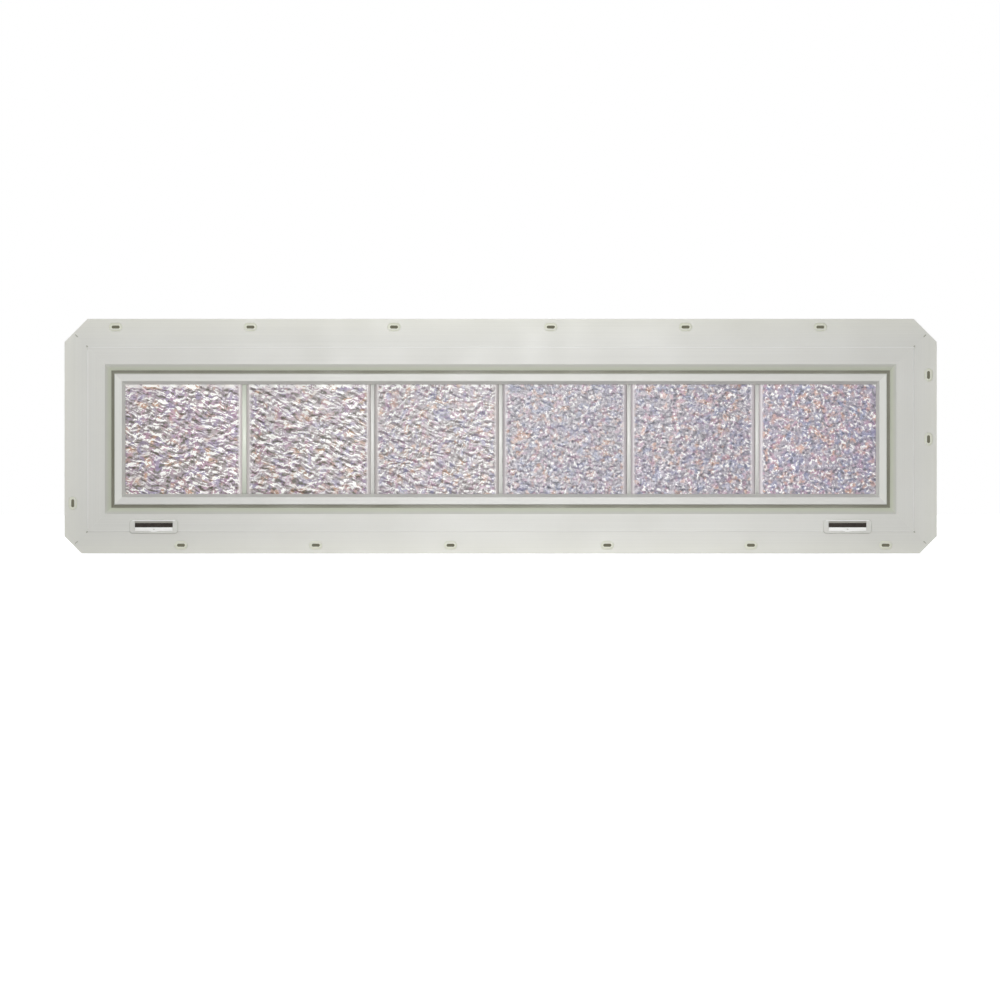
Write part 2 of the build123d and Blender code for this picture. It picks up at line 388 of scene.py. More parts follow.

# %% [markdown]
# ## Frame: extruded white vinyl
#
# The frame members are rigid white PVC, pushed through a steel die and cooled in
# a long bath. The die leaves very faint lines along each member, the surface is
# smooth with a soft shine, and the outer fins have faded a little more than the
# face. Light and shade are also painted into the colour by the place in the
# member's section: painted shade darkens the groove beside the bead and the inner
# part of the slope that leads down to it, and a painted highlight lightens the
# rounded outer edge of the face. So the first functions measure that place.

# %% Places on the frame
# Where the painted highlight and the painted shade lie in the section, in millimetres.
GROOVE_ACROSS = (37.2, 42.2)
GROOVE_DEEP = (4.8, 16.0)
STEP_ACROSS = (-0.5, 0.9)
STEP_DEEP = (-2.5, -3.5)
STEP_AMOUNT = 0.8
SLOPE_ACROSS = (27.8, 35.0)
SLOPE_DEEP = (13.0, 12.5)
BEAD_EDGE = (41.0, 40.0)
FADED_FIN = (4.0, 40.0)


def ramp(low, high):
    """The settings of a range that rises from 0 at one value to 1 at another."""
    return {"From Min": low, "From Max": high}


def fin_fading(tree, place):
    """0 on the frame's face and up to 1 at the outer edge of the fins."""
    axes = add(tree, "SeparateXYZ", {0: place}).outputs
    height = add(tree, "Math", {0: axes["Z"], 1: WINDOW_CENTRE_Z}, operation="SUBTRACT")
    beyond = []
    for offset, half in ((axes["X"], FRAME_HALF[0]), (height, FRAME_HALF[1])):
        distance = add(tree, "Math", {0: offset}, operation="ABSOLUTE")
        beyond.append(add(tree, "Math", {0: distance, 1: half}, operation="SUBTRACT"))
    farther = add(tree, "Math", dict(enumerate(beyond)), operation="MAXIMUM")
    return add(tree, "MapRange", {"Value": farther, **ramp(*FADED_FIN)})


def places_in_section(tree, place, along):
    """How far a point lies inward of the frame's outer side, and its depth along Y."""
    axes = add(tree, "SeparateXYZ", {0: place}).outputs
    offset, half = axes["X"], FRAME_HALF[0]
    if along == "X":
        offset = add(tree, "Math", {0: axes["Z"], 1: WINDOW_CENTRE_Z}, operation="SUBTRACT")
        half = FRAME_HALF[1]
    distance = add(tree, "Math", {0: offset}, operation="ABSOLUTE")
    inward = add(tree, "Math", {0: half, 1: distance}, operation="SUBTRACT")
    return inward, axes["Y"]


print("frame without its fins:", [2 * half for half in FRAME_HALF], "mm")


# %% Painted light and shade on the frame
def between(tree, value, start, end, soft=0.6):
    """1 where a value lies between start and end, with a soft step at both."""
    rising = add(tree, "MapRange", {"Value": value, **ramp(start - soft, start + soft)})
    falling = add(tree, "MapRange", {"Value": value, **ramp(end + soft, end - soft)})
    return add(tree, "Math", {0: rising, 1: falling}, operation="MULTIPLY")


def groove_painted_shade(tree, inward, depth):
    """How much painted shade a point gets: 1 deep in the groove beside the glazing bead."""
    limits = {0: between(tree, inward, *GROOVE_ACROSS), 1: between(tree, depth, *GROOVE_DEEP)}
    return add(tree, "Math", limits, operation="MULTIPLY")


def edge_painted_highlight(tree, inward, depth):
    """How much painted highlight a point gets: the rounded outer edge of the face."""
    painted_light_band = between(tree, inward, *STEP_ACROSS, 0.2)
    proud = add(tree, "MapRange", {"Value": depth, **ramp(*STEP_DEEP), "To Max": STEP_AMOUNT})
    return add(tree, "Math", {0: painted_light_band, 1: proud}, operation="MULTIPLY")


def slope_painted_shade(tree, inward, depth):
    """How much painted shade a point gets: 1 on the inner part of the frame's front slope, in an olive
    grey.
    """
    tint = add(tree, "MapRange", {"Value": inward, **ramp(*SLOPE_ACROSS)})
    for value, limit in ((inward, BEAD_EDGE), (depth, SLOPE_DEEP)):
        within = add(tree, "MapRange", {"Value": value, **ramp(*limit)})
        tint = add(tree, "Math", {0: tint, 1: within}, operation="MULTIPLY")
    return tint


# The painted highlight is white; the painted shade is pale olive grey on the slope and dark olive in the
# groove.
PAINTED_LIGHT_MARKS = ((edge_painted_highlight, "#FFFFFF"), (slope_painted_shade, "#D6DAC8"), (groove_painted_shade, "#6E6D56"))
print("marks:", [mark.__name__ for mark, _ in PAINTED_LIGHT_MARKS])

# %% [markdown]
# The vinyl itself is one recipe: faint die lines along the member, large soft
# clouds and a fine grain. Head and sill run along X and the jambs along Z, so it
# is made twice with its lines turned. Only the frame and its beads get the painted
# light and shade.

# %% Extruded vinyl
DIE_LINE_SPACING = 2.2
DIE_LINE_LENGTH = 600.0
MOTTLE_SIZE = 70.0
GRAIN_SIZE = 1.6


def extruded_vinyl(name, colour, faded_colour, along, painted_marks=False):
    """Extruded PVC whose die lines run along one axis."""
    material, tree, shader, place = new_material(name)
    line_size = [DIE_LINE_SPACING] * 3
    line_size["XYZ".index(along)] = DIE_LINE_LENGTH
    lines = soft_pattern(tree, place, line_size, detail=2.0)
    mottle = soft_pattern(tree, place, [MOTTLE_SIZE] * 3, detail=3.0)
    grain = soft_pattern(tree, place, [GRAIN_SIZE] * 3)
    colours = {0: fin_fading(tree, place), 6: linear(colour), 7: linear(faded_colour)}
    faded = add(tree, "Mix", colours, data_type="RGBA").outputs[2]
    shade = add(tree, "MapRange", {"Value": lines, **NOISE_SPREAD, "To Min": 0.972, "To Max": 1.012})
    cloud = add(tree, "MapRange", {"Value": mottle, **NOISE_SPREAD, "To Min": 0.975, "To Max": 1.02})
    both = add(tree, "Math", {0: shade, 1: cloud}, operation="MULTIPLY")
    finished = add(tree, "VectorMath", {0: faded, "Scale": both}, operation="SCALE").outputs[0]
    # Painted highlight and painted shade, laid on by the place in the member's section.
    section = places_in_section(tree, place, along) if painted_marks else None
    for mark, tint in PAINTED_LIGHT_MARKS if painted_marks else ():
        colours = {0: mark(tree, *section), 6: finished, 7: linear(tint)}
        finished = add(tree, "Mix", colours, data_type="RGBA").outputs[2]
    tree.links.new(finished, shader.inputs["Base Color"])
    rough = add(tree, "MapRange", {"Value": mottle, **NOISE_SPREAD, "To Min": 0.36, "To Max": 0.46})
    tree.links.new(rough.outputs[0], shader.inputs["Roughness"])
    drawn = add(tree, "Bump", {"Height": lines, "Distance": 0.03 * MM, "Strength": 0.6})
    skin = add(tree, "Bump", {"Height": grain, "Distance": 0.01 * MM, "Strength": 0.5, "Normal": drawn})
    tree.links.new(skin.outputs[0], shader.inputs["Normal"])
    shader.inputs["IOR"].default_value = 1.53
    return material


vinyl_rails = extruded_vinyl("extruded_white_vinyl_rails", "#D8D8D2", "#DEDED5", "X", painted_marks=True)
vinyl_jambs = extruded_vinyl("extruded_white_vinyl_jambs", "#D9D9D3", "#E0E0D7", "Z", painted_marks=True)
dress(vinyl_rails, "frame_head", "frame_sill")
dress(vinyl_jambs, "frame_jamb")
print("frame in", vinyl_rails.name, "and", vinyl_jambs.name)

# %% [markdown]
# ## Glazing beads
#
# The beads are the same plastic, run on a second die and snapped in from the
# front. They are newer and a little brighter than the frame.

# %% Glazing bead vinyl
bead_rails = extruded_vinyl("extruded_bead_vinyl_rails", "#DCDCD7", "#DCDCD7", "X", painted_marks=True)
bead_jambs = extruded_vinyl("extruded_bead_vinyl_jambs", "#E6E7E1", "#E6E7E1", "Z", painted_marks=True)
dress(bead_rails, "glazing_bead_head", "glazing_bead_sill")
dress(bead_jambs, "glazing_bead_jamb")
print("beads in", bead_rails.name, "and", bead_jambs.name)

# %% [markdown]
# ## Joint strips
#
# A hollow vinyl strip stands in each joint and holds two blocks apart. It sits
# between glass edges, and a green tint is painted on it as the light through
# them, most of all on the first one. A rib runs down its front with a bright
# line on it: the rib is real relief and its near-white colour is a painted
# highlight. A painted line alone would look flat from the side, so the rib is a
# thin piece of its own, with a flat top and rounded edges.

# %% Joint strip vinyl
# The green tint is painted light, as if cast through the glass edges.
strip_tinted = extruded_vinyl("joint_vinyl_green_tint", "#DCE3D2", "#DCE3D2", "Z")
strip_white = extruded_vinyl("joint_vinyl_white", "#DADBD5", "#DADBD5", "Z")
dress(strip_white, "joint_strip")
dress(strip_tinted, "joint_strip_1")
print("joint strips in", strip_white.name, "and", strip_tinted.name)

# %% Ribs on the joint strips
BLOCK_PITCH = 203.2
STRIP_FRONT_Y = 14.6
RIB_HALF_WIDTH = {"white": 2.0, "tinted": 3.6}
RIB_HEIGHT = 0.95
RIB_SINK = 0.1
RIB_STEPS = 8
SIGHT_HALF_HEIGHT = 86.75


def joint_rib(number, material, half_width):
    """A shallow flat-topped rib with rounded edges down the front of one strip, between the beads."""
    centre_x = (number - 3) * BLOCK_PITCH
    profile = []
    for i in range(RIB_STEPS + 1):
        turn = math.radians(180 * i / RIB_STEPS)
        height = RIB_HEIGHT * math.sqrt(math.sin(turn)) if 0 < i < RIB_STEPS else 0.0
        profile.append((-half_width * math.cos(turn), STRIP_FRONT_Y + RIB_SINK - height))
    vertices = []
    for z in (-SIGHT_HALF_HEIGHT, SIGHT_HALF_HEIGHT):
        vertices.extend((centre_x + x, y, WINDOW_CENTRE_Z + z) for x, y in profile)
    count = len(profile)
    faces = [(i, i + 1, count + i + 1, count + i) for i in range(count - 1)]
    faces += [tuple(reversed(range(count))), tuple(range(count, 2 * count))]
    faces.append((0, count, 2 * count - 1, count - 1))
    return add_piece(f"joint_rib_{number}", vertices, faces, material)


# The ribs' near-white colours are a painted highlight on real relief.
rib_white = extruded_vinyl("joint_rib_vinyl_white", "#FAFAF6", "#FAFAF6", "Z")
rib_tinted = extruded_vinyl("joint_rib_vinyl_green_tint", "#F6FCEE", "#F6FCEE", "Z")
joint_rib(1, rib_tinted, RIB_HALF_WIDTH["tinted"])
for number in range(2, 6):
    joint_rib(number, rib_white, RIB_HALF_WIDTH["white"])
print("ribs:", count_pieces("joint_rib"))

# %% [markdown]
# ## Rubber and foam
#
# The gasket under the bead and the setting blocks under the glass are moulded
# rubber: dark, matt, with a faint powdery bloom. The tape behind the glass is
# closed-cell foam, which has small pits.

# %% Rubber and foam
def matt_polymer(name, colour, bloom_colour, pit_size, pit_depth, roughness):
    """A matt, slightly clouded polymer with small pits."""
    material, tree, shader, place = new_material(name)
    bloom = soft_pattern(tree, place, [9.0] * 3, detail=4.0)
    cloudy = add(tree, "MapRange", {"Value": bloom, **ramp(0.35, 0.7)})
    bloomed = add(tree, "Mix", {0: cloudy, 6: linear(colour), 7: linear(bloom_colour)}, data_type="RGBA")
    tree.links.new(bloomed.outputs[2], shader.inputs["Base Color"])
    pits = soft_pattern(tree, place, [pit_size] * 3, detail=2.0)
    pitted = add(tree, "Bump", {"Height": pits, "Distance": pit_depth * MM, "Strength": 0.8})
    tree.links.new(pitted.outputs[0], shader.inputs["Normal"])
    shader.inputs["Roughness"].default_value = roughness
    shader.inputs["IOR"].default_value = 1.5
    return material


gasket_rubber = matt_polymer("moulded_grey_gasket_rubber", "#5E5C50", "#716E62", 0.8, 0.05, 0.7)
tape_foam = matt_polymer("closed_cell_glazing_foam", "#8E8C84", "#A3A199", 1.2, 0.2, 0.85)
setting_rubber = matt_polymer("moulded_setting_rubber", "#3E3D3A", "#504E4A", 1.0, 0.05, 0.65)
dress(gasket_rubber, "bead_gasket")
dress(tape_foam, "glazing_tape")
dress(setting_rubber, "setting_blocks")
print("soft pieces in", gasket_rubber.name, tape_foam.name, "and", setting_rubber.name)

# %% [markdown]
# ## Weep covers
#
# The two covers on the sill are injection moulded, so they have a fine even
# sheen instead of die lines. The flap in each is a separate white moulding,
# brightened as a painted highlight. The bevel above each opening gets painted
# shade and the edge over it a painted highlight, both by height.

# %% Moulded plastic
WEEP_X = 549.05
# Painted shade on the bevel, then a painted highlight on the edge above it.
PAINTED_LIGHT_BANDS = (
    {"heights": (30.9, 33.4), "half_length": 30.0, "amount": 0.75, "colour": "#A39F96"},
    {"heights": (33.9, 35.6), "half_length": 34.0, "amount": 0.9, "colour": "#FFFFFF"},
)


def bevel_painted_light(tree, place, finished):
    """The colour with painted shade on the bevel over each weep opening and a painted highlight on the edge
    over the bevel.
    """
    axes = add(tree, "SeparateXYZ", {0: place}).outputs
    from_centre = add(tree, "Math", {0: axes["X"]}, operation="ABSOLUTE")
    beside = add(tree, "Math", {0: from_centre, 1: WEEP_X}, operation="SUBTRACT")
    off_middle = add(tree, "Math", {0: beside}, operation="ABSOLUTE")
    for band in PAINTED_LIGHT_BANDS:
        ends = ramp(band["half_length"] + 1.0, band["half_length"] - 1.0)
        within = add(tree, "MapRange", {"Value": off_middle, **ends, "To Max": band["amount"]})
        level = between(tree, axes["Z"], *band["heights"], 0.4)
        mark = add(tree, "Math", {0: within, 1: level}, operation="MULTIPLY")
        colours = {0: mark, 6: finished, 7: linear(band["colour"])}
        finished = add(tree, "Mix", colours, data_type="RGBA").outputs[2]
    return finished


def moulded_plastic(name, colour, shade_colour, roughness, painted_light_band=False):
    """Injection moulded plastic with a fine spark texture."""
    material, tree, shader, place = new_material(name)
    cloud = soft_pattern(tree, place, [14.0] * 3, detail=2.0)
    cloudy = add(tree, "MapRange", {"Value": cloud, **ramp(0.35, 0.65)})
    colours = {0: cloudy, 6: linear(colour), 7: linear(shade_colour)}
    finished = add(tree, "Mix", colours, data_type="RGBA").outputs[2]
    if painted_light_band:
        finished = bevel_painted_light(tree, place, finished)
    tree.links.new(finished, shader.inputs["Base Color"])
    spark = soft_pattern(tree, place, [0.7] * 3, detail=2.0)
    sparked = add(tree, "Bump", {"Height": spark, "Distance": 0.015 * MM, "Strength": 0.6})
    tree.links.new(sparked.outputs[0], shader.inputs["Normal"])
    shader.inputs["Roughness"].default_value = roughness
    shader.inputs["IOR"].default_value = 1.49
    return material


cover_plastic = moulded_plastic("moulded_cover_plastic", "#DCDCD6", "#D6D6D0", 0.42, painted_light_band=True)
# The flap's white is its own colour, brightened to near pure white as a painted highlight.
flap_plastic = moulded_plastic("moulded_flap_plastic", "#FFFFFD", "#FBFBF8", 0.36)
dress(cover_plastic, "weep_cover")
dress(flap_plastic, "weep_flap")
print("weep covers in", cover_plastic.name, "and", flap_plastic.name)

# %% [markdown]
# ## Dark foam plugs in the weep openings
#
# Behind each flap a plug of dark open foam sits in the frame's hollow chamber.
# It is painted shade: it makes the opening look dark, as the shaded chamber
# would. A block with a fine grid on its front is pushed in and out by noise, like
# torn foam, and a second scale of pores comes from the material.

# %% Dark foam plugs
PLUG_HALF_LENGTH = 31.0
PLUG_Z = (3.0, 15.5)
PLUG_Y = (-1.3, 7.0)
PLUG_GRID = (62, 13)
TORN_SIZE = 1.25
TORN_DEPTH = 0.7
TORN_OUTWARD = 0.4
TORN_SEED = 3.1
FRAME_EDGE_Z = WINDOW_CENTRE_Z - FRAME_HALF[1]

shade_plug_foam = matt_polymer("open_cell_baffle_foam", "#3A3430", "#4C4540", 1.6, 0.6, 0.9)


def shade_plug_point(centre_x, layer, row, column):
    """One point of a plug's front (layer 0) or back, with the front torn in and out."""
    columns, rows = PLUG_GRID
    x = centre_x - PLUG_HALF_LENGTH + 2 * PLUG_HALF_LENGTH * column / columns
    z = PLUG_Z[0] + (PLUG_Z[1] - PLUG_Z[0]) * row / rows
    torn = noise.noise(Vector((x / TORN_SIZE, TORN_SEED, z / TORN_SIZE))) if layer == 0 else 0.0
    return x, PLUG_Y[layer] + max(TORN_DEPTH * torn, -TORN_OUTWARD), FRAME_EDGE_Z + z


def weep_shade_plug(name, centre_x):
    """A dark foam plug, painted shade, in the chamber behind one weep opening."""
    columns, rows = PLUG_GRID
    wide = columns + 1
    vertices = []
    for layer in (0, 1):
        for row in range(rows + 1):
            vertices += [shade_plug_point(centre_x, layer, row, column) for column in range(wide)]
    back = wide * (rows + 1)
    faces = []
    for a in (row * wide + column for row in range(rows) for column in range(columns)):
        faces.append((a, a + 1, a + wide + 1, a + wide))
        faces.append((back + a, back + a + wide, back + a + wide + 1, back + a + 1))
    right = [row * wide + columns for row in range(1, rows + 1)]
    top = [rows * wide + column for column in range(columns - 1, -1, -1)]
    left = [row * wide for row in range(rows - 1, 0, -1)]
    rim = [*range(wide), *right, *top, *left]
    for first, second in zip(rim, rim[1:] + rim[:1]):
        faces.append((first, back + first, back + second, second))
    return add_piece(name, vertices, faces, shade_plug_foam, smooth=False)


# Dark plugs as painted shade in the two weep openings.
weep_shade_plug("weep_baffle_left", -WEEP_X)
weep_shade_plug("weep_baffle_right", WEEP_X)
print("baffles at", -WEEP_X, WEEP_X)

# %% [markdown]
# ## Pressed glass
#
# Each block is two pressed halves of soda-lime glass. The plunger leaves a
# rippled pattern on the face, which breaks what lies behind into pale streaks,
# thin dark lines and soft patches. It could be left to clear glass with a dark
# room behind, but the picture would then change with every lamp. Here the
# pattern is painted into the glass's colour: painted refraction of what lies
# behind, pale streaks as painted highlights and dark lines as painted shade. The
# ripples that go with it are real relief in the mesh.
#
# The coordinates drift a little first, so that nothing runs straight. The
# patches, painted refraction, are two greys, three tints that come and go, and
# wide violet zones.

# %% Patches in the glass
DRIFT_SIZE = 38.0
ZONE_SIZE = 34.0
ZONE_AMOUNT = 0.4


def drifting(tree, place, amount):
    """The place moved each way by large soft noise, by up to half the amount in millimetres."""
    drift = soft_pattern(tree, place, [DRIFT_SIZE] * 3, detail=2.0).outputs["Color"]
    centred = add(tree, "VectorMath", {0: drift, 1: (0.5, 0.5, 0.5)}, operation="SUBTRACT")
    moved = add(tree, "VectorMath", {0: centred, "Scale": amount}, operation="SCALE")
    return add(tree, "VectorMath", {0: place, 1: moved}, operation="ADD").outputs[0]


def glass_patches(tree, place, flow, look):
    """Soft patches of colour: painted refraction of what lies behind a rippled face."""
    patch = soft_pattern(tree, flow, [look["patch"]] * 3, detail=2.0)
    light = add(tree, "MapRange", {"Value": patch, **ramp(0.38, 0.62)})
    colours = {0: light, 6: linear(look["ground"]), 7: linear(look["ground_light"])}
    ground = add(tree, "Mix", colours, data_type="RGBA").outputs[2]
    spots = soft_pattern(tree, flow, [look["spot"]] * 3).outputs["Color"]
    strengths = add(tree, "SeparateXYZ", {0: spots}).outputs
    for strength, (colour, amount) in zip(strengths, look["spot_colours"]):
        spot = add(tree, "MapRange", {"Value": strength, **ramp(0.53, 0.66), "To Max": amount})
        ground = add(tree, "Mix", {0: spot, 6: ground, 7: linear(colour)}, data_type="RGBA").outputs[2]
    zones = soft_pattern(tree, place, [ZONE_SIZE] * 3)
    zone = add(tree, "MapRange", {"Value": zones, **ramp(0.45, 0.65), "To Max": ZONE_AMOUNT})
    return add(tree, "Mix", {0: zone, 6: ground, 7: linear(look["zone"])}, data_type="RGBA").outputs[2]


# %% [markdown]
# The streaks come from the height of the ripples. The height is read twice, at a
# point and a little beside it, and the difference tells how the face leans
# there: faces leaning one way get a painted highlight, as if lit from the upper
# left, and faces leaning the other way get painted shade. A larger step beside
# the point gives loose specks instead of streaks. The painted highlights come in
# groups, and more painted light is added near the top, under the head.

# %% Streaks in the glass
RIPPLE_TURN = 30.0
TOP_LIGHT_Z = (243.0, 248.5)


def glass_streaks(tree, place, flow, look, ground):
    """The colour with painted highlight streaks and painted shade lines over the patches, and the height of
    the ripples.
    """
    ripples = {"size": look["ripple"], "detail": look["detail"], "turn": -RIPPLE_TURN}
    height = soft_pattern(tree, flow, **ripples)
    beside = add(tree, "VectorMath", {0: flow, 1: look["beside"]}, operation="ADD").outputs[0]
    lean = add(tree, "Math", {0: soft_pattern(tree, beside, **ripples), 1: height}, operation="SUBTRACT")
    # Painted light: the lean is raised near the top of the blocks, under the head, so more painted
    # highlight gathers there.
    upward = add(tree, "SeparateXYZ", {0: place}).outputs["Z"]
    top_light = add(tree, "MapRange", {"Value": upward, **ramp(*TOP_LIGHT_Z), "To Max": look["top_light"]})
    lean = add(tree, "Math", {0: lean, 1: top_light}, operation="ADD")
    # Painted shade where the face leans one way, painted highlight where it leans the other.
    dark = add(tree, "MapRange", {"Value": lean, **ramp(*look["dark_lean"]), "To Max": look["dark_amount"]})
    lined = add(tree, "Mix", {0: dark, 6: ground, 7: linear(look["dark"])}, data_type="RGBA").outputs[2]
    highlight_lean = add(tree, "MapRange", {"Value": lean, **ramp(*look["pale_lean"])})
    group = soft_pattern(tree, flow, [look["group"]] * 3)
    grouped = add(tree, "MapRange", {"Value": group, **ramp(0.36, 0.56), "To Min": look["group_least"]})
    pale = add(tree, "Math", {0: highlight_lean, 1: grouped}, operation="MULTIPLY")
    colours = {0: pale, 6: lined, 7: linear(look["pale"])}
    return add(tree, "Mix", colours, data_type="RGBA").outputs[2], height


# %% [markdown]
# Only the flat of each face carries the pattern. The mesh brings an attribute
# that is 1 there and 0 on the plain rim, where the glass has a pale plain colour,
# painted lighter still on the shoulder and sides against their shade.

# %% Pressed glass material
FRONT_FACE_Y = 13.6
BACK_FACE_Y = 64.4


def plain_glass(tree, place, look):
    """The colour of the unpatterned glass: the rim of each face, and the shoulder and sides painted lighter
    against their shade.
    """
    depth = add(tree, "SeparateXYZ", {0: place}).outputs["Y"]
    behind_front = add(tree, "Math", {0: depth, 1: FRONT_FACE_Y}, operation="SUBTRACT")
    before_back = add(tree, "Math", {0: BACK_FACE_Y, 1: depth}, operation="SUBTRACT")
    from_face = add(tree, "Math", {0: behind_front, 1: before_back}, operation="MINIMUM")
    # Painted light: the shoulder colour is lighter than the rim to offset the shoulder's shade.
    shoulder = add(tree, "MapRange", {"Value": from_face, **ramp(0.1, 1.0)})
    colours = {0: shoulder, 6: linear(look["rim"]), 7: linear(look["shoulder"])}
    return add(tree, "Mix", colours, data_type="RGBA").outputs[2]


def pressed_glass(name, look, level):
    """Pressed glass with painted refraction, highlights and shade in streaks, lines and patches, scaled by
    a level of painted light.
    """
    material, tree, shader, place = new_material(name)
    patterned = add(tree, "Attribute", attribute_name="pattern").outputs["Fac"]
    flow = drifting(tree, place, look["drift"])
    ground = glass_patches(tree, place, flow, look)
    streaked, height = glass_streaks(tree, place, flow, look, ground)
    colours = {0: patterned, 6: plain_glass(tree, place, look), 7: streaked}
    faced = add(tree, "Mix", colours, data_type="RGBA").outputs[2]
    toned = add(tree, "VectorMath", {0: faced, "Scale": level}, operation="SCALE")
    tree.links.new(toned.outputs[0], shader.inputs["Base Color"])
    relief = add(tree, "Math", {0: height, 1: patterned}, operation="MULTIPLY")
    rippled = add(tree, "Bump", {"Height": relief, "Distance": 0.6 * MM, "Strength": 0.4})
    tree.links.new(rippled.outputs[0], shader.inputs["Normal"])
    shader.inputs["Roughness"].default_value = 0.22
    shader.inputs["IOR"].default_value = 1.52
    shader.inputs["Specular IOR Level"].default_value = 0.2
    shader.inputs["Transmission Weight"].default_value = 0.15
    return material


# %% [markdown]
# Three looks cover the six blocks. The first two blocks show long streaks, the
# third shorter ones and the last three a fine grain. Sizes are in millimetres.
# A level scales each block's colour as painted light: the end blocks are lifted
# and the middle ones dimmed against the lamps, which light the middle most.

# %% Looks of the six blocks
# In each look, "pale" is the painted highlight colour, "dark" the painted shade colour and "top_light" the
# extra painted light near the top.
LONG_STREAKS = {
    "drift": 20.0,
    "patch": 12.0,
    "ground": "#8F8485",
    "ground_light": "#AEA1A3",
    "zone": "#9C84A6",
    "spot": 15.0,
    "spot_colours": [("#C59876", 0.9), ("#B0879E", 0.85), ("#968CAE", 0.8)],
    "ripple": (12.0, 11.0, 6.6),
    "detail": 1.8,
    "beside": (1.1, 0.0, -1.7),
    "dark": "#4E4D3C",
    "dark_lean": (-0.03, -0.09),
    "dark_amount": 0.95,
    "pale": "#FFFFFA",
    "pale_lean": (0.03, 0.046),
    "top_light": 0.1,
    "group": 24.0,
    "group_least": 0.45,
    "rim": "#DCD6D4",
    "shoulder": "#E6DEDE",
}
SHORT_STREAKS = LONG_STREAKS | {
    "patch": 11.0,
    "spot": 12.0,
    "spot_colours": [("#CE9E80", 0.95), ("#BA8AA4", 0.85), ("#8E8CB2", 0.85)],
    "ripple": (6.6, 6.4, 4.6),
    "detail": 1.5,
    "beside": (1.4, 0.0, -1.8),
    "dark": "#6A6866",
    "dark_lean": (-0.04, -0.13),
    "dark_amount": 0.75,
    "pale_lean": (0.055, 0.09),
    "group": 14.0,
}
FINE_GRAIN = {
    "drift": 12.0,
    "patch": 10.0,
    "ground": "#8E8895",
    "ground_light": "#AFA6B0",
    "zone": "#9386A8",
    "spot": 11.0,
    "spot_colours": [("#CEA08C", 0.9), ("#BA90A6", 0.85), ("#888EAE", 0.85)],
    "ripple": (4.6, 4.6, 4.2),
    "detail": 1.5,
    "beside": (6.0, 0.0, -7.0),
    "dark": "#565862",
    "dark_lean": (-0.06, -0.19),
    "dark_amount": 0.8,
    "pale": "#FFFDFB",
    "pale_lean": (0.1, 0.17),
    "top_light": 0.03,
    "group": 9.0,
    "group_least": 0.35,
    "rim": "#DCD5D8",
    "shoulder": "#E2DADE",
}
LOOKS = [LONG_STREAKS] * 2 + [SHORT_STREAKS] + [FINE_GRAIN] * 3
# Painted light: end blocks lifted, middle blocks dimmed against the lamps' brighter middle.
LEVELS = [1.3, 1.05, 0.88, 0.9, 1.05, 1.32]

block_glass = []
for number, (look, level) in enumerate(zip(LOOKS, LEVELS), 1):
    block_glass.append(pressed_glass(f"pressed_glass_block_{number}", look, level))
print("glass materials:", [glass.name for glass in block_glass])

# %% [markdown]
# ## Glass block halves
#
# Each half is a shallow glass dish: a thick face with rounded shoulders, a
# flange that keys into the joint strip, a narrower waist and a lip where the
# halves are fused. A plain box with a bump map would show a straight edge from
# the side, so the ripples are in the mesh. They push the face in by up to
# 0.6 mm, so it never leaves the CAD block.

# %% Glass block sizes
BLOCK_HALF = 98.425
HALF_DEPTH = 25.4
SHOULDER = 4.0
FLANGE_DEPTH = 9.0
WAIST_HALF = 95.925
SEAM_HALF = 96.925
SEAM_WIDTH = 1.5
FACE_THICKNESS = 6.5
CAVITY_HALF = 89.925
CAVITY_FLOOR_HALF = 89.1
CAVITY_RADIUS = 6.0
PLAIN_RIM = 4.0
RIM_FADE = 4.0
print("block:", 2 * BLOCK_HALF, "mm square with faces", FACE_THICKNESS, "mm thick")

# %% [markdown]
# The ripples are waves of noise on bent and turned coordinates, with smaller
# waves on top. The bends are drawn with a fixed seed, so every run gives the same
# glass. A face is a grid with closer rows round its shoulder.

# %% Ripples and places on a face
RIPPLE_DEPTH = 0.6
BEND_SIZE = 40.0
BEND_REACH = 9.0
FINER = 2.1
COARSE_SHARE = 0.45
FINE_SHARE = 0.22
BEND_SEED = 7
noise.seed_set(BEND_SEED)


def across(half, radius, cells, arc_cells=4):
    """Places across a face with a rounded edge: (distance from the middle, cosine of the edge's turn)."""
    flat = half - radius
    inside = [(-flat + 2 * flat * i / cells, 1.0) for i in range(cells + 1)]
    arc = []
    for i in range(1, arc_cells + 1):
        turn = math.radians(90 * i / arc_cells)
        arc.append((flat + radius * math.sin(turn), math.cos(turn)))
    left = [(-place, cosine) for place, cosine in reversed(arc)]
    return left + inside + arc


def ripple(x, z, seed, long_wave, wide_wave):
    """Height of the pressed ripples, from 0 to 1."""
    turn = math.radians(RIPPLE_TURN)
    drift = noise.noise_vector(Vector((x / BEND_SIZE, seed, z / BEND_SIZE)))
    x, z = x + BEND_REACH * drift.x, z + BEND_REACH * drift.z
    along = x * math.cos(turn) - z * math.sin(turn)
    over = x * math.sin(turn) + z * math.cos(turn)
    wave = noise.noise(Vector((along / long_wave, seed, over / wide_wave)))
    small = noise.noise(Vector((along / long_wave * FINER, seed + 7, over / wide_wave * FINER)))
    return min(max(0.5 + COARSE_SHARE * wave + FINE_SHARE * small, 0.0), 1.0)


print("ripples: up to", RIPPLE_DEPTH, "mm deep, none within", PLAIN_RIM, "mm of the rim")

# %% [markdown]
# One half is built up as a closed skin from the outside in: the front face, rings
# of points down the flange, the waist and the seam, and the cavity's rippled
# floor. Every ring has as many points as the rim of a face, so the rings join.

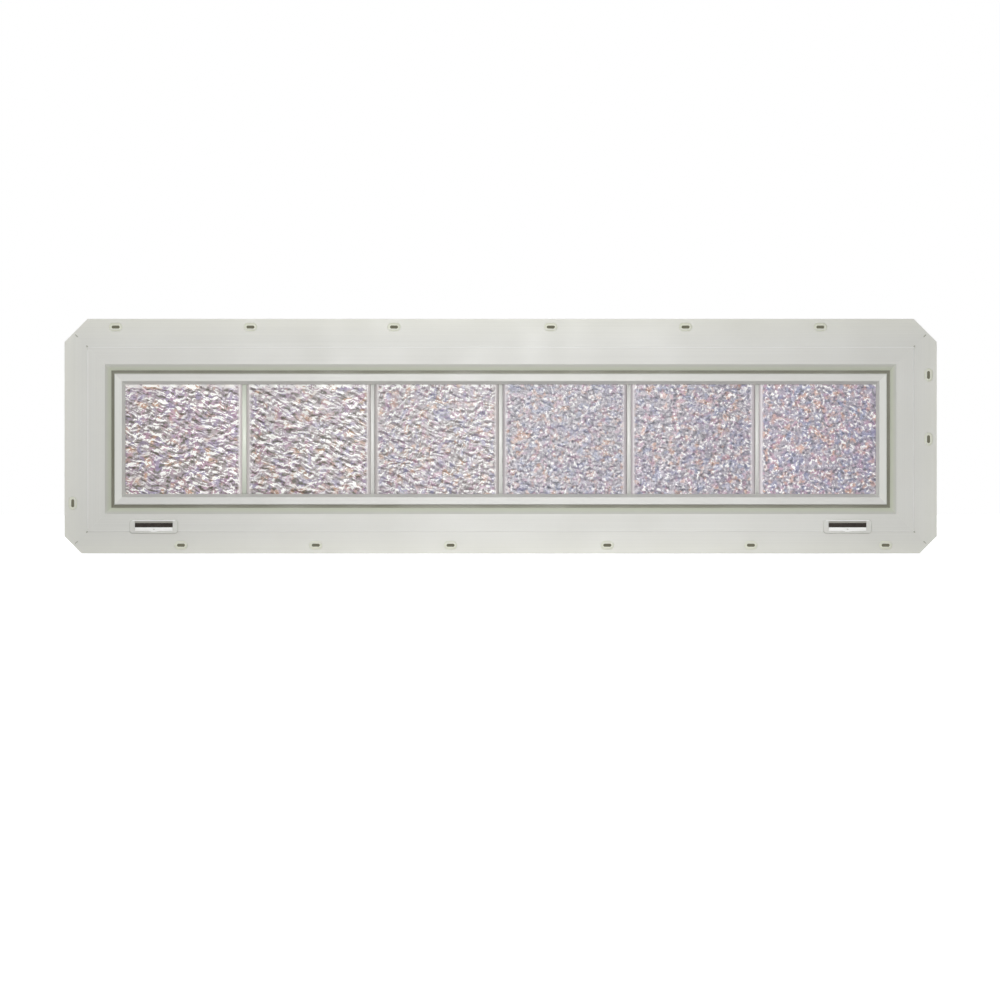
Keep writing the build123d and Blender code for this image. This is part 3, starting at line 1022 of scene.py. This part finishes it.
# %% Closed skin of one half
def face_grid(skin, half, radius, base, cells, seed, waves):
    """Adds a rippled face with rounded edges to a skin, and gives the point numbers of its rim."""
    vertices, pattern, faces = skin
    places = across(half, radius, cells)
    start = len(vertices)
    for z, z_cos in places:
        for x, x_cos in places:
            inside = min(half - abs(x), half - abs(z))
            strength = min(max((inside - PLAIN_RIM) / RIM_FADE, 0.0), 1.0)
            shoulder = radius * (1 - x_cos * z_cos)
            wave = RIPPLE_DEPTH * strength * ripple(x, z, seed, *waves)
            vertices.append((x, base + shoulder + wave, z))
            pattern.append(strength)
    size = len(places)
    for row in range(size - 1):
        for a in range(start + row * size, start + row * size + size - 1):
            faces.append((a, a + 1, a + size + 1, a + size))
    bottom = [start + i for i in range(size)]
    right = [start + i * size + size - 1 for i in range(1, size)]
    top = [start + size * (size - 1) + i for i in range(size - 2, -1, -1)]
    left = [start + i * size for i in range(size - 2, 0, -1)]
    return bottom + right + top + left


def ring(skin, like, half, depth):
    """Adds a ring of points, like another one, at a new half width and depth."""
    vertices, pattern, _ = skin
    start = len(vertices)
    first_x, _, first_z = vertices[like[0]]
    scale = half / max(abs(first_x), abs(first_z))
    for x, _, z in [vertices[index] for index in like]:
        vertices.append((x * scale, depth, z * scale))
        pattern.append(0.0)
    return list(range(start, start + len(like)))


def join(skin, first, second):
    """Adds the walls between two rings."""
    for a, b, c, d in zip(first, second, second[1:] + second[:1], first[1:] + first[:1]):
        skin[2].append((a, b, c, d))


def half_skin(cells, seed, waves):
    """Vertices as (x, distance in from the face, z), their pattern strength, and the faces of one half."""
    skin = [], [], []
    edge = face_grid(skin, BLOCK_HALF, SHOULDER, 0.0, cells, seed, waves)
    steps = [
        (BLOCK_HALF, FLANGE_DEPTH),
        (WAIST_HALF, FLANGE_DEPTH),
        (WAIST_HALF, HALF_DEPTH - SEAM_WIDTH),
        (SEAM_HALF, HALF_DEPTH - SEAM_WIDTH),
        (SEAM_HALF, HALF_DEPTH),
        (CAVITY_HALF, HALF_DEPTH),
    ]
    for half, depth in steps:
        following = ring(skin, edge, half, depth)
        join(skin, edge, following)
        edge = following
    floor = face_grid(skin, CAVITY_FLOOR_HALF, CAVITY_RADIUS, FACE_THICKNESS, cells, seed + 31, waves)
    join(skin, edge, floor)
    return skin


# %% [markdown]
# The front face has the finer grid, since it is seen close by. Each piece stands
# for one plain CAD half and is hidden with it.

# %% Glass block halves
FACE_CELLS = {"front": 112, "back": 60}
LONG_WAVES = (17.0, 6.5)
FINE_WAVES = (8.0, 5.0)


def block_half(number, side):
    """One pressed half in its place, which stands for the plain CAD half."""
    is_front = side == "front"
    waves = LONG_WAVES if number <= 3 else FINE_WAVES
    seed = number * 3.7 + (0 if is_front else 50)
    vertices, pattern, faces = half_skin(FACE_CELLS[side], seed, waves)
    centre_x = (number - 3.5) * BLOCK_PITCH
    face_y, inward = (FRONT_FACE_Y, 1) if is_front else (BACK_FACE_Y, -1)
    placed = [(centre_x + x, face_y + inward * deep, WINDOW_CENTRE_Z + z) for x, deep, z in vertices]
    turned = faces if is_front else [face[::-1] for face in faces]
    node_name = f"glass_block_{number}_{side}"
    piece = add_piece(f"patterned_{node_name}", placed, turned, block_glass[number - 1])
    strength = piece.data.attributes.new("pattern", "FLOAT", "POINT")
    strength.data.foreach_set("value", pattern)
    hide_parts(node_name)
    return piece


block_pieces = [block_half(number, side) for number in range(1, 7) for side in ("front", "back")]
print("block pieces:", len(block_pieces), "faces each:", [len(p.data.polygons) for p in block_pieces[:2]])

# %% [markdown]
# ## Nail slots
#
# The slots are punched through the fins. The punch leaves a slightly raised lip
# round each hole. A low ring follows each slot's rounded outline and slopes down
# to the fin, so it catches a soft line of light, and its pale colour is a painted
# highlight on top of that.

# %% Nail slot lips
SLOT_LENGTH = 12.7
SLOT_WIDTH = 4.8
SLOT_FROM_EDGE = 13.0
LIP_HEIGHT = 0.25
LIP_REACH = 4.2
LIP_PROFILE = [
    (0.0, -0.3),
    (0.05, LIP_HEIGHT),
    (0.9, LIP_HEIGHT * 0.7),
    (LIP_REACH, 0.02),
    (LIP_REACH, -0.05),
]
FIN_FRONT_Y = -2.0
RAIL_SLOT_X = [-609.6, -396.2, -168.9, 79.4, 292.8, 506.2]
JAMB_SLOT_Z = {"left": [-101.6], "right": [0.0, 101.6]}

# The lip's pale colour is a painted highlight.
punched_vinyl = extruded_vinyl("punched_vinyl_lip", "#EFF0E2", "#EDEEDC", "X")


def slot_outline(grow, points=10):
    """The slot's rounded outline, grown by an amount, as (along, over) pairs."""
    radius = SLOT_WIDTH / 2 + grow
    straight = (SLOT_LENGTH - SLOT_WIDTH) / 2
    outline = []
    for side in (1, -1):
        for i in range(points + 1):
            turn = math.radians(-90 + 180 * i / points)
            outline.append((side * (straight + radius * math.cos(turn)), side * radius * math.sin(turn)))
    return outline


def slot_lip(name, centre_x, centre_z, upright):
    """A low sloping ring round one slot."""
    vertices, faces = [], []
    for grow, height in LIP_PROFILE:
        for along, over in slot_outline(grow):
            x, z = (over, along) if upright else (along, over)
            vertices.append((centre_x + x, FIN_FRONT_Y - height, centre_z + z))
    count = len(vertices) // len(LIP_PROFILE)
    for level in range(len(LIP_PROFILE) - 1):
        for i in range(count):
            j = (i + 1) % count
            a, b = level * count, (level + 1) * count
            quad = (a + i, a + j, b + j, b + i)
            faces.append(quad if upright else quad[::-1])
    return add_piece(name, vertices, faces, punched_vinyl)


head_slot_z = (high.z / MM) - SLOT_FROM_EDGE
sill_slot_z = (low.z / MM) + SLOT_FROM_EDGE
jamb_slot_x = {"left": low.x / MM + SLOT_FROM_EDGE, "right": high.x / MM - SLOT_FROM_EDGE}
for number, x in enumerate(RAIL_SLOT_X, 1):
    slot_lip(f"slot_lip_head_{number}", x, head_slot_z, False)
    slot_lip(f"slot_lip_sill_{number}", -x, sill_slot_z, False)
for side, heights in JAMB_SLOT_Z.items():
    for number, z in enumerate(heights, 1):
        slot_lip(f"slot_lip_jamb_{side}_{number}", jamb_slot_x[side], WINDOW_CENTRE_Z + z, True)
print("slot lips:", count_pieces("slot_lip"))

# %% [markdown]
# ## Corner welds
#
# The mitred corners are melted together and trimmed. A faint raised line is left
# on the diagonal, down the flat face and the slope beside it. It is a low
# triangular ridge, because a bump map couldn't follow the turn onto the slope.

# %% Corner weld lines
WELD_WIDTH = 0.9
WELD_HEIGHT = 0.05
WELD_SINK = 0.02
FACE_Y = -4.0
SLOPE_START, SLOPE_END, SLOPE_BOTTOM_Y = 27.5, 36.9, 4.0
WELD_PATH = [
    (1.0, FACE_Y),
    (SLOPE_START - 0.4, FACE_Y),
    (SLOPE_START + 0.5, FACE_Y + 0.5),
    (SLOPE_END, SLOPE_BOTTOM_Y),
]
CORNERS = [
    ("upper_left", -1, 1),
    ("lower_left", -1, -1),
    ("upper_right", 1, 1),
    ("lower_right", 1, -1),
]

weld_vinyl = extruded_vinyl("welded_vinyl", "#DCDCD6", "#DCDCD6", "Z")


def weld_line(name, x_side, z_side):
    """A low triangular ridge along one corner's diagonal."""
    half = WELD_WIDTH / 2 / math.sqrt(2)
    vertices, faces = [], []
    for inward, y in WELD_PATH:
        x = x_side * (FRAME_HALF[0] - inward)
        z = WINDOW_CENTRE_Z + z_side * (FRAME_HALF[1] - inward)
        vertices.append((x - x_side * half, y + WELD_SINK, z + z_side * half))
        vertices.append((x, y - WELD_HEIGHT, z))
        vertices.append((x + x_side * half, y + WELD_SINK, z - z_side * half))
    for step in range(len(WELD_PATH) - 1):
        a, b = step * 3, step * 3 + 3
        for i in range(2):
            quad = (a + i, a + i + 1, b + i + 1, b + i)
            faces.append(quad if x_side * z_side > 0 else quad[::-1])
    return add_piece(name, vertices, faces, weld_vinyl)


for corner, x_side, z_side in CORNERS:
    weld_line(f"weld_line_{corner}", x_side, z_side)
print("weld lines:", count_pieces("weld_line"))

# %% [markdown]
# A small dark burr stays at the frame's outer corner with a pale trimmed one
# beside it, and another dark one where the fin's corner is cut off. Each is a low
# dome given by its place on the diagonal and its length, width and height.

# %% Weld burrs
BURR_STEPS = (10, 8)
BURR_SINK = 0.03

dark_vinyl = extruded_vinyl("scorched_vinyl_burr", "#A9A99C", "#A9A99C", "Z")


def weld_burr(name, x_side, z_side, offset, size, surface_y, material):
    """A low dome on a corner's diagonal, offset outward of the frame's corner and a little across."""
    outward, across = offset
    length, width, height = size
    along_steps, around_steps = BURR_STEPS
    middle_x = x_side * (FRAME_HALF[0] + outward + across)
    middle_z = WINDOW_CENTRE_Z + z_side * (FRAME_HALF[1] + outward - across)
    vertices, faces = [], []
    for i in range(along_steps + 1):
        place = -math.cos(math.pi * i / along_steps)
        wide = math.sqrt(max(1 - place * place, 0.0))
        for j in range(around_steps + 1):
            turn = math.pi * j / around_steps
            over = width / 2 * wide * math.cos(turn)
            step = length / 2 * place
            x = middle_x + x_side * (step + over) / math.sqrt(2)
            z = middle_z + z_side * (step - over) / math.sqrt(2)
            vertices.append((x, surface_y + BURR_SINK - height * wide * math.sin(turn), z))
    row = around_steps + 1
    for i in range(along_steps):
        for j in range(around_steps):
            a = i * row + j
            quad = (a, a + 1, a + row + 1, a + row)
            faces.append(quad if x_side * z_side < 0 else quad[::-1])
    return add_piece(name, vertices, faces, material)


for corner, *sides in CORNERS:
    weld_burr(f"scorched_burr_{corner}", *sides, (0.8, 0.0), (3.8, 2.2, 0.5), FIN_FRONT_Y, dark_vinyl)
    weld_burr(f"pale_burr_{corner}", *sides, (-1.0, 1.5), (6.5, 1.8, 0.3), FACE_Y, weld_vinyl)
    weld_burr(f"cut_burr_{corner}", *sides, (17.5, 0.0), (6.5, 2.0, 0.35), FIN_FRONT_Y, dark_vinyl)
print("weld burrs:", count_pieces("_burr_"))
